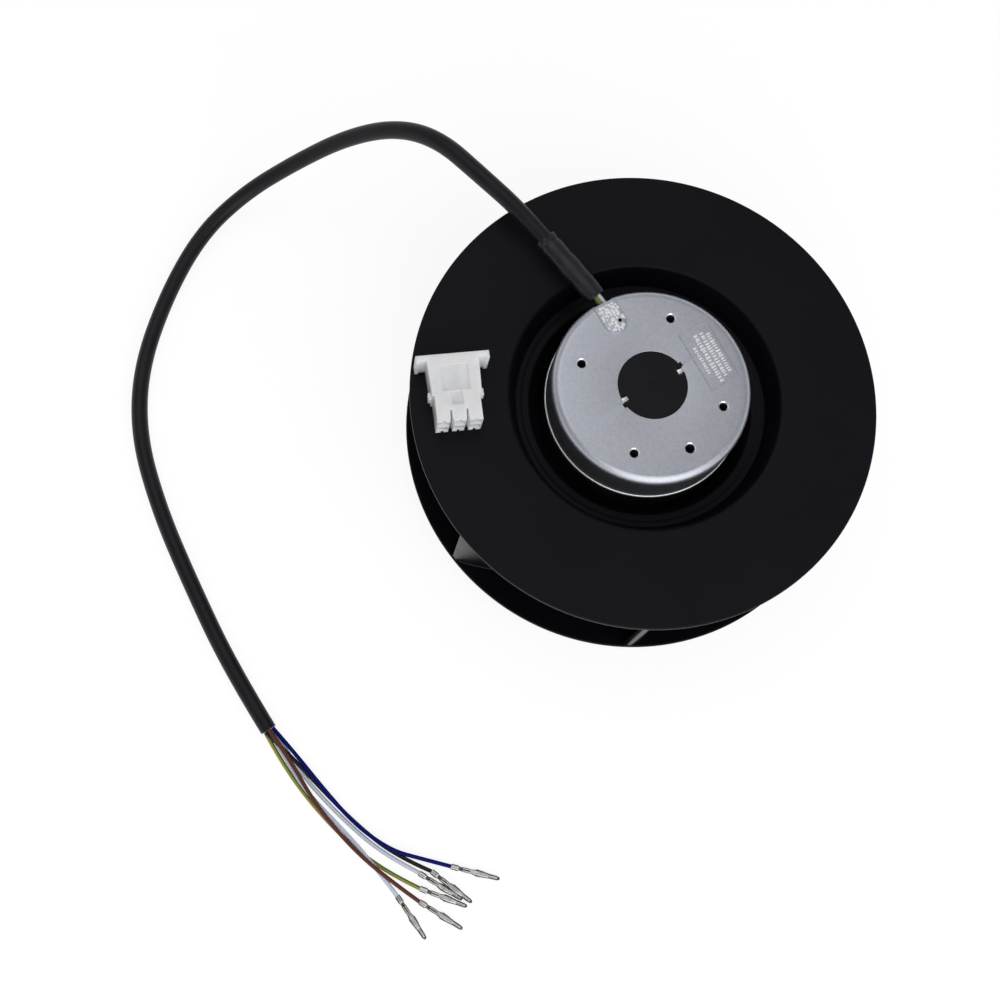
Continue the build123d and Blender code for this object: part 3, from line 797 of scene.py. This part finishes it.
def make_flange():
    """The die-cast cup: rounded edge, rolled lip, tapped holes, cable notch and window."""
    wall_radius = cup_radius - lip_setback
    corners = [
        (bearing_radius, tube_end, 0.3), (tube_radius, tube_end, 0.3),
        (tube_radius, face_height - flange_wall, 1.0),
        (cup_radius - flange_wall, face_height - flange_wall, 1.5),
        (cup_radius - flange_wall, lip_height, 0.2), (wall_radius, lip_height, 0.2),
        (wall_radius, face_height, flange_edge_round), (cap_radius + 0.1, face_height, 0.15),
        (cap_radius + 0.1, face_height - cap_thickness, 0.0),
        (bearing_radius, face_height - cap_thickness, 0.2),
    ]
    bm = bmesh.new()
    revolve(bm, rounded(corners, 8), 256)
    flange = make_piece(
        "flange_casting", bm, cast_metal, "stator", 30, "stator_flange"
    )
    cutters = bmesh.new()
    at_screws(cutters, plug, 32, lambda radius: bore(radius, 1.0, bore_chamfer))
    plug(cutters, on_face(bore(vent_radius)), 24, vent_place)
    notch = about_z(outlet_angle)
    window = bmesh.ops.create_cone(
        cutters, cap_ends=True, segments=32, radius1=window_radius, radius2=window_radius, depth=8.0
    )["verts"]
    lay = notch @ Matrix.Translation((window_place, 0, outlet_level / MM))
    lay = lay @ Matrix.Rotation(pi / 2, 4, "Y")
    bmesh.ops.transform(cutters, matrix=lay, verts=window)
    boolean(flange, cutters)
    for side in BOTH_ENDS:
        ears = bmesh.new()
        ear_size = (cap_ear_reach + 1.0, cap_ear_width, 2 * cap_thickness)
        ear_spot = (cap_radius + (cap_ear_reach - 1.0) / 2, 0, face_height)
        block(ears, ear_size, ear_spot, about_z(cap_tab_angle + cap_ear_turn + side))
        boolean(flange, ears)
    step = bmesh.new()
    step_spot = (window_step_place, 0, outlet_level / MM + window_step_rise)
    block(step, window_step_size, step_spot, notch, 0.4)
    boolean(flange, step)
    # Painted shade: the upright wall faces below the rounded edge take the dark copy of the cast
    # aluminium
    flange.data.materials.append(wall_painted_shade)
    rim_foot = (face_height - flange_edge_round) * MM
    for face in flange.data.polygons:
        heights = [flange.data.vertices[index].co.z for index in face.vertices]
        if face.normal.xy.length > 0.9 and sum(heights) / len(heights) < rim_foot:
            face.material_index = 1
    sharpen(flange, 35)

    # The bead's near-white colour is painted highlight along the lip
    bead = bmesh.new()
    circle = []
    for turn in range(12):
        across, up = polar(lip_bead_radius, turn * pi / 6)
        circle.append((cup_radius - lip_bead_radius + across, lip_height + lip_bead_radius + up))
    revolve(bead, circle, 256)
    make_piece("lip_bead", bead, lip_painted_highlight, "stator", 60)

    bosses = bmesh.new()
    at_screws(bosses, plug, 40, boss)
    boss_piece = make_piece("screw_bosses", bosses, cast_metal, "stator")
    holes = bmesh.new()
    at_screws(holes, plug, 32, lambda radius: bore(radius, 0.0))
    boolean(boss_piece, holes)
    sharpen(boss_piece)

    # The threads, and a thin tube inside the vent, are near black: painted shade in the holes
    threads = bmesh.new()
    at_screws(threads, revolve, 32, thread)
    inner, outer = vent_radius - 0.06, vent_radius + 0.02
    lining = [(outer, -2.5), (outer, -0.2), (inner, -0.2), (inner, -2.5)]
    revolve(threads, on_face(lining), 24, vent_place)
    make_piece("screw_threads", threads, hole_painted_shade, "stator", 20)

    mouths = bmesh.new()
    at_screws(mouths, revolve, 32, bright_mouth)
    make_piece("screw_mouths", mouths, machined_metal, "stator")


def add_frame(lines, relief, scatter):
    """The raised frame, and the rows of plain ribs inside it."""
    turn = about_z(frame_angle)
    low, high = frame_middle - frame_half_width, frame_middle + frame_half_width
    corners = [
        (low, -frame_half_length), (high, -frame_half_length), (high, frame_half_length),
        (low, frame_half_length),
    ]
    ridge(lines, corners, 0.8, 0.3, turn)
    for share, reach, tall in frame_rows:
        x = low + 2 * frame_half_width * share
        y = -reach
        while y < reach:
            stroke = scatter.uniform(0.5, 1.1)
            size = (tall * scatter.uniform(0.6, 1.0), stroke, 0.6)
            block(relief, size, (x, y, face_height + 0.1), turn, 0.16)
            y += stroke + scatter.uniform(0.3, 0.5)


def add_pad(lines, relief, scatter):
    """The raised cable pad with its outline, and its field of dimples round the vent."""
    turn = about_z(outlet_angle)
    round_centre = pad_inner + pad_half_width
    outline = [(pad_outer, -pad_half_width), (pad_outer, pad_half_width)]
    for step in range(17):
        x, y = polar(pad_half_width, pi / 2 + pi * step / 16)
        outline.append((round_centre + x, y))
    pad = bmesh.new()
    prism(pad, outline, face_height - 0.1, face_height + 0.12, 0.1, turn)
    pad_piece = make_piece("cable_pad", pad, cast_metal, "stator", 35)
    vent_cutter = bmesh.new()
    plug(vent_cutter, on_face(bore(vent_radius)), 24, vent_place)
    boolean(pad_piece, vent_cutter)
    sharpen(pad_piece, 35)
    ridge(lines, outline, 0.9, 0.36, turn)
    vent = turn.inverted() @ Vector((*vent_place, 0))
    for row in range(10):
        for column in range(7):
            x = pad_inner + dimple_start[0] + row * dimple_pitch[0]
            x += scatter.uniform(-dimple_shift, dimple_shift)
            y = dimple_start[1] + column * dimple_pitch[1]
            y += scatter.uniform(-dimple_shift, dimple_shift)
            past_edge = hypot(min(0, x - round_centre), y) > pad_half_width - pad_edge_clearance
            near_vent = hypot(x - vent.x, y - vent.y) < pad_vent_clearance
            if past_edge or near_vent or scatter.random() < dimple_gaps:
                continue
            size = scatter.uniform(0.5, 0.95)
            made = bmesh.ops.create_icosphere(relief, subdivisions=2, radius=size)["verts"]
            squash = Matrix.Diagonal((1.0, scatter.uniform(0.6, 1.3), 0.24 / size, 1.0))
            move = turn @ Matrix.Translation((x, y, face_height + 0.05))
            bmesh.ops.transform(relief, matrix=move @ squash, verts=made)


def make_flange_marks():
    """The raised frame with plain ribs, the embossed cable pad, and the tabs at the cap."""
    lines = bmesh.new()
    relief = bmesh.new()
    scatter = random.Random(3)
    add_frame(lines, relief, scatter)
    add_pad(lines, relief, scatter)
    tabs = bmesh.new()
    for side in BOTH_ENDS:
        spot = ((cap_tab_radius + cap_radius + 0.9) / 2, 0, face_height - cap_thickness / 2 - 0.02)
        size = (cap_radius + 0.5 - cap_tab_radius, cap_tab_width - 0.7, cap_thickness)
        block(tabs, size, spot, about_z(cap_tab_angle + side), 0.2)
    # The ribs and dimples wear the paler metal: painted highlight on the raised marks
    for name, shapes, material in (
        ("flange_lines", lines, cast_metal), ("flange_marks", relief, relief_painted_highlight),
        ("cap_tabs", tabs, machined_metal),
    ):
        make_piece(name, shapes, material, "stator", 35)


def make_cap():
    """The black cap with a notch for each tab and the gate mark at its centre."""
    outline = []
    notch = (cap_tab_width + 0.5) / 2
    inner = cap_tab_radius - 0.3
    half_angle = asin(notch / cap_radius)
    steps = 60
    for side in BOTH_ENDS:
        base = cap_tab_angle + side
        for x, y in ((inner, -notch), (inner, notch)):
            outline.append(tuple(Matrix.Rotation(base, 2) @ Vector((x, y))))
        for step in range(steps + 1):
            angle = base + half_angle + (pi - 2 * half_angle) * step / steps
            outline.append(polar(cap_radius, angle))
    bm = bmesh.new()
    prism(bm, outline, face_height - cap_thickness, face_height - 0.05, 0.25)
    for side in BOTH_ENDS:
        size = (cap_ear_reach + 0.9, cap_ear_width - 0.1, cap_thickness - 0.1)
        reach = cap_radius + (cap_ear_reach - 1.1) / 2
        spot = (reach, 0, face_height - cap_thickness / 2 - 0.1)
        block(bm, size, spot, about_z(cap_tab_angle + cap_ear_turn + side), 0.15)
    revolve(bm, on_face([(1.5, -0.2), (1.6, 0.12), (2.0, 0.12), (2.2, -0.2)]), 48)
    plug(bm, on_face([(0, -0.3), (0.5, -0.3), (0.5, 0), (0.3, 0.05), (0, 0.05)]), 24)
    make_piece("cap", bm, cap_polymer, "stator", 35, "centre_cap")


def nurbs_cord(name, points, diameter, material, swell=()):
    """A cord as one smooth spline through a route's control points."""
    curve = bpy.data.curves.new(name, "CURVE")
    curve.dimensions = "3D"
    curve.bevel_depth = diameter / 2
    curve.bevel_resolution = 8
    curve.resolution_u = 12
    curve.use_fill_caps = True
    spline = curve.splines.new("NURBS")
    spline.points.add(len(points) - 1)
    for index, (spot, point) in enumerate(zip(spline.points, points)):
        spot.co = (*point, 1)
        spot.radius = swell[index] if swell else 1.0
    spline.order_u = 3
    spline.use_endpoint_u = True
    curve.materials.append(material)
    cord = show(name, curve)
    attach(cord, "stator")
    return cord


def spline_length(cord):
    """Length of a cord's centreline, read from its own spline."""
    bare = cord.data.copy()
    bare.bevel_depth = 0
    probe = show("probe", bare)
    graph = bpy.context.evaluated_depsgraph_get()
    mesh = bpy.data.meshes.new_from_object(probe.evaluated_get(graph))
    ends = [[mesh.vertices[index].co for index in edge.vertices] for edge in mesh.edges]
    bpy.data.objects.remove(probe)
    return sum((a - b).length for a, b in ends)


def bell(offset, width):
    """Height of a bell curve at an offset from its middle."""
    return exp(-((offset / width) ** 2))


def axes_between(start, end):
    """Unit vectors along a run, level across it, and up from it."""
    along = (end - start).normalized()
    side = along.cross(Z_AXIS).normalized()
    return along, side, side.cross(along)


def make_collar():
    """The heat-shrunk collar: a tube that pinches at the motor and folds at its far end."""
    start, end = Vector(collar_points[0]) / MM, Vector(collar_points[1]) / MM
    along, side, up = axes_between(start, end)
    length = (end - start).length + collar_overhang
    radius = collar_diameter / MM / 2
    ring_count, sides = 40, 40
    rings = []
    bm = bmesh.new()
    for step in range(ring_count + 1):
        distance = step / ring_count * length
        lip = 0.94 if step in (0, ring_count) else 1.0
        crease = 1 - crease_depth * bell(distance - length + crease_place, crease_width)
        taper = 1 - taper_depth * bell(distance, taper_length)
        half_width = radius * lip * crease * taper * (collar_broad + 0.03 * sin(distance * 0.5))
        half_height = radius * lip * crease * (collar_flat - 0.02 * sin(distance * 0.7))
        ring = []
        for turn in range(sides):
            angle = FULL_TURN * turn / sides
            pinch = 1 + 0.06 * bell(angle - 0.5, 0.25)
            wrinkle = pinch * (1 + 0.008 * sin(3 * angle + distance * 0.8))
            across = side * cos(angle) * half_width * wrinkle
            rise = up * sin(angle) * half_height * wrinkle
            ring.append(bm.verts.new(start + along * distance + across + rise))
        rings.append(ring)
    skin(bm, rings)
    bm.faces.new(rings[0])
    bm.faces.new(list(reversed(rings[-1])))
    return make_piece(
        "shrink_collar", bm, collar_black, "stator", 40, "cable_collar"
    )


def make_exit_leads():
    """Six short leads side by side between the flange's window and the collar."""
    start, end = Vector(exit_points[0]), Vector(exit_points[1])
    along, side, up = axes_between(start, end)
    for index, lead in enumerate(exit_order):
        angle = radians(65 + index * 72)
        spread = 0.0 if lead == exit_order[-1] else exit_spread
        shift = side * cos(angle) * spread + up * sin(angle) * spread
        route = [start + shift, (start + end) / 2 + shift * 1.1, end + shift + along * 0.001]
        thickness = lead_diameter * 0.92
        cord = nurbs_cord(
            f"exit_lead_{lead}", route, thickness, insulation[dye_of(lead)]
        )
        if lead == exit_order[0]:
            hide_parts("lead_outlet_bundle")


def contact_section(x):
    """Half width, half height, squareness and seam depth of a contact at a place on its axis."""
    for before, after in zip(contact_stations, contact_stations[1:]):
        if before[0] <= x <= after[0]:
            share = (x - before[0]) / (after[0] - before[0])
            share = share * share * (3 - 2 * share)
            return [a + (b - a) * share for a, b in zip(before[1:], after[1:])]
    return contact_stations[-1][1:]


def make_contact(lead):
    """A crimped, rolled pin contact at the end of its lead."""
    bm = bmesh.new()
    sides, ring_count = 48, 110
    rings = []
    for step in range(ring_count + 1):
        x = contact_length * step / ring_count
        width, height, square, seam = contact_section(x)
        ring = []
        for turn in range(sides):
            angle = FULL_TURN * turn / sides
            c, s = polar(1.0, angle)
            stretch = 1 / max(abs(c), abs(s)) ** square
            dip = seam * bell(angle - pi / 2, 0.2)
            ring.append(bm.verts.new((x, width * c * stretch, height * s * stretch - dip)))
        rings.append(ring)
    # Faces in the seam, at the necks, at the tip and outside the lit top band take the painted
    # shade
    for number, face in enumerate(skin(bm, rings)):
        step, turn = divmod(number, sides)
        seam = contact_section(contact_length * step / ring_count)[3]
        from_seam = abs(FULL_TURN * (turn + 0.5) / sides - pi / 2)
        seamed = seam > 0.3 and from_seam < seam_half_angle
        x = contact_length * (step + 0.5) / ring_count
        necked = neck_start < x < neck_end or x > tip_start
        crown = pin_lit_top_half_angle if x > pin_start else lit_top_half_angle
        face.material_index = 1 if seamed or necked or from_seam > crown else 0
    bm.faces.new(rings[0])
    bm.faces.new(list(reversed(rings[-1])))
    for side in (1, -1):
        spot = Matrix.Translation((lance_place, side * lance_offset, 0))
        block(bm, lance_size, (0, 0, 0), spot @ about_z(-side * lance_slant), 0.06)
    place = Matrix.Translation(Vector(lead_routes[lead][-1]) / MM)
    place = place @ about_z(radians(contact_headings[lead]))
    place = place @ Matrix.Translation((0.05, 0, 0))
    bmesh.ops.transform(bm, matrix=place, verts=bm.verts)
    contact = make_piece(
        f"pin_{lead}", bm, tinned, "stator", 40, f"contact_{lead}"
    )
    contact.data.materials.append(tinned_painted_shade)
    return contact


def declare_cord(cord, end_piece):
    """Measures the length of a cord's spline and keeps nothing; end_piece is not used."""
    spline_length(cord)


def make_cable():
    """The sleeve, its collar and the six leads with their contacts."""
    sleeve = nurbs_cord(
        "sleeve", sleeve_points, sleeve_diameter, sleeve_black, sleeve_swell
    )
    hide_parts("cable_sleeve")
    declare_cord(sleeve, make_collar())
    make_exit_leads()
    for name, points in lead_routes.items():
        lead = nurbs_cord(f"insulated_{name}", points, lead_diameter, insulation[dye_of(name)])
        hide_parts(f"lead_{name}")
        declare_cord(lead, make_contact(name))


def make_housing():
    """The six-way housing: mounting flange, ears, tapered body, latch lugs and three silos."""
    inset = 15.1
    angle = radians(-171.62)
    turn = radians(22.9)
    lift = 0.3
    height = 13.6
    flange_width = 29.0
    flange_depth = 2.4
    ear_length = 3.0
    ear_wall = 1.5
    body_width = 20.6
    body_length = 14.4
    body_taper = 0.6
    lower_width = 17.9
    lower_length = 11.0
    slot_width = 0.9
    slot_length = 5.0
    mouth_size = (1.5, 2.4)
    lug_length = 2.8
    lug_width = 2.4
    lug_height = 5.0
    pitch = 6.35
    cavity = 4.4
    panel_size, panel_place = (11.0, 10.4, 0.7), 9.9
    latch_window_size, latch_window_place = (4.4, 5.2, 1.2), 18.2
    end_notch_size, end_notch_drop = (1.1, 1.0, 1.8), 0.6
    edge = 0.00028

    middle = disc_top + lift + height / 2
    place = (
        Matrix.Translation((*polar(disc_radius - inset, angle), middle))
        @ about_z(turn)
        @ Matrix.Scale(-1, 4, (0, 1, 0))
    )
    body_end = flange_depth + body_length
    total = body_end + lower_length

    bm = bmesh.new()
    half = body_width / 2
    low_half = half - body_taper
    outline = [(-half, 0.5), (half, 0.5), (low_half, body_end), (-low_half, body_end)]
    prism(bm, outline, -height / 2, height / 2)
    housing = make_piece("housing_shell", bm, nylon)

    def shape(size, x, y, z=0, operation="DIFFERENCE"):
        made = bmesh.new()
        block(made, size, (x, y, z))
        boolean(housing, made, operation)

    plate_size = (flange_width, flange_depth, height)
    shape(plate_size, 0, flange_depth / 2, 0, "UNION")
    ear = (flange_width - ear_wall) / 2
    ear_size = (ear_wall, ear_length, height)
    lug_size = (lug_width, lug_length, lug_height)
    for side in (1, -1):
        shape(ear_size, side * ear, ear_length / 2, 0, "UNION")
        shape(lug_size, side * low_half, body_end - lug_length / 2, 0, "UNION")
    lower_size = (lower_width, lower_length + 1, height)
    shape(lower_size, 0, (total + body_end - 1) / 2, 0, "UNION")
    slot_size = (slot_width, slot_length + 0.5, height + 2)
    mouth_size = (*mouth_size, height + 2)
    bore_size = (cavity, total + 4, cavity)
    for side in (1, -1):
        slot_x = side * pitch / 2
        top = side * height / 2
        shape(slot_size, slot_x, total - slot_length / 2 + 0.25)
        shape(mouth_size, slot_x, total - 0.2)
        shape(panel_size, 0, panel_place, top)
        shape(latch_window_size, 0, latch_window_place, top)
        for column in (-1, 0, 1):
            x = column * pitch
            shape(bore_size, x, total / 2, side * pitch / 2)
            shape(end_notch_size, x, total, side * (height / 2 - end_notch_drop))
    bevel = housing.modifiers.new("soften", "BEVEL")
    bevel.width = edge
    bevel.segments = 2
    bevel.limit_method = "ANGLE"
    bevel.angle_limit = radians(40)
    bake_modifiers(housing)
    housing.data.transform(Matrix.Scale(MM, 4) @ place @ Matrix.Scale(1 / MM, 4))
    housing.data.flip_normals()
    sharpen(housing, 35)
    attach(housing, "connector")
    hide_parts("connector_housing")

    bm = bmesh.new()
    shade_size = (cavity - 0.1, total - 6.0, cavity - 0.1)
    for row in (1, -1):
        for column in (-1, 0, 1):
            spot = (column * pitch, total / 2, row * pitch / 2)
            block(bm, shade_size, spot, place)
    make_piece("cavity_shades", bm, cavity_shade, "connector")


def dress_hidden_parts():
    """Finishes for the CAD pieces inside the motor, whose shapes stay as they are."""
    finishes = {
        "stator_core": lamination_steel,
        "shaft": shaft_steel,
        "shaft_snap_ring": shaft_steel,
    }
    for end in ("upper", "lower"):
        finishes[f"winding_{end}_end_turns"] = winding_copper
        finishes[f"{end}_bearing_outer"] = bearing_steel
        finishes[f"{end}_bearing_inner"] = bearing_steel
    for node, material in finishes.items():
        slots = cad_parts[node].data.materials
        slots.clear()
        slots.append(material)


def make_camera():
    """The camera at the photograph's place, turned about its own line of sight."""
    level, height = polar(1.0, camera_elevation)
    back = Vector((sin(camera_azimuth) * level, -cos(camera_azimuth) * level, height))
    right = (-back).cross(Z_AXIS).normalized()
    up = back.cross(right)
    across = right * cos(camera_roll) + up * sin(camera_roll)
    along = up * cos(camera_roll) - right * sin(camera_roll)
    data = bpy.data.cameras.new("camera")
    data.lens = camera_lens
    data.sensor_width = 36.0
    data.clip_start = 0.01
    camera = show("camera", data)
    turn = Matrix((across, along, back)).transposed().to_4x4()
    camera.matrix_world = Matrix.Translation(camera_place) @ turn
    bpy.context.scene.camera = camera


def area_light(name, place, size, power):
    """A soft square lamp that faces the fan."""
    data = bpy.data.lights.new(name, "AREA")
    data.size = size
    data.energy = power
    lamp = show(name, data)
    lamp.location = place
    lamp.rotation_euler = (Vector(place) - Vector(lamp_target)).to_track_quat("Z", "Y").to_euler()


def seen_rays(nodes):
    """A node whose value is 1 for rays from the camera, from gloss and through glass."""
    path = add_node(nodes, "LightPath")
    total, output = path, "Is Camera Ray"
    for name in ("Is Glossy Ray", "Is Transmission Ray"):
        larger = add_node(nodes, "Math")
        larger.operation = "MAXIMUM"
        wire(total, output, larger, 0)
        wire(path, name, larger, 1)
        total, output = larger, 0
    return total


def make_stage():
    """A pale floor that keeps the shadow, a white world behind it and soft lamps."""
    bm = bmesh.new()
    bmesh.ops.create_grid(bm, x_segments=1, y_segments=1, size=floor_half_size)
    mesh = bpy.data.meshes.new("floor")
    bm.to_mesh(mesh)
    bm.free()
    floor = show("floor", mesh)
    floor.location = (0, 0, -floor_drop)
    material = bpy.data.materials.new("floor")
    material.use_nodes = True
    nodes = material.node_tree.nodes
    nodes.clear()
    output = add_node(nodes, "OutputMaterial")
    both = add_node(nodes, "AddShader")
    diffuse = add_node(nodes, "BsdfDiffuse", Color=(floor_grey, floor_grey, floor_grey, 1))
    glow = add_node(nodes, "Emission")
    strength = add_node(nodes, "Math")
    strength.operation = "MULTIPLY"
    strength.inputs[1].default_value = floor_glow
    wire(seen_rays(nodes), 0, strength, 0)
    wire(strength, 0, glow, "Strength")
    wire(diffuse, 0, both, 0)
    wire(glow, 0, both, 1)
    wire(both, 0, output, "Surface")
    mesh.materials.append(material)

    world = bpy.data.worlds.new("studio")
    bpy.context.scene.world = world
    world.use_nodes = True
    nodes = world.node_tree.nodes
    background = nodes["Background"]
    set_inputs(background, {"Color": (1, 1, 1, 1)})
    place = add_node(nodes, "TexCoord")
    height = add_node(nodes, "SeparateXYZ")
    seen = add_node(
        nodes, "MapRange", From_Min=white_to_height, From_Max=ceiling_from_height, To_Min=1.0,
        To_Max=ceiling_level,
    )
    level = add_node(nodes, "MapRange", To_Min=ceiling_level)
    wire(place, "Generated", height, "Vector")
    wire(height, "Z", seen, "Value")
    wire(seen, "Result", level, "To Max")
    wire(seen_rays(nodes), 0, level, "Value")
    wire(level, "Result", background, "Strength")

    area_light("key", (0.50, -0.80, 0.75), 1.4, 9.5)
    area_light("fill", (-0.5, 0.45, 1.5), 1.2, 3.5)
    bpy.context.scene.view_settings.view_transform = "Standard"


make_camera()
make_stage()
make_cable()
make_back_disc()
make_shroud()
make_blades()
make_rotor()
make_flange()
make_flange_marks()
make_cap()
make_housing()
dress_hidden_parts()
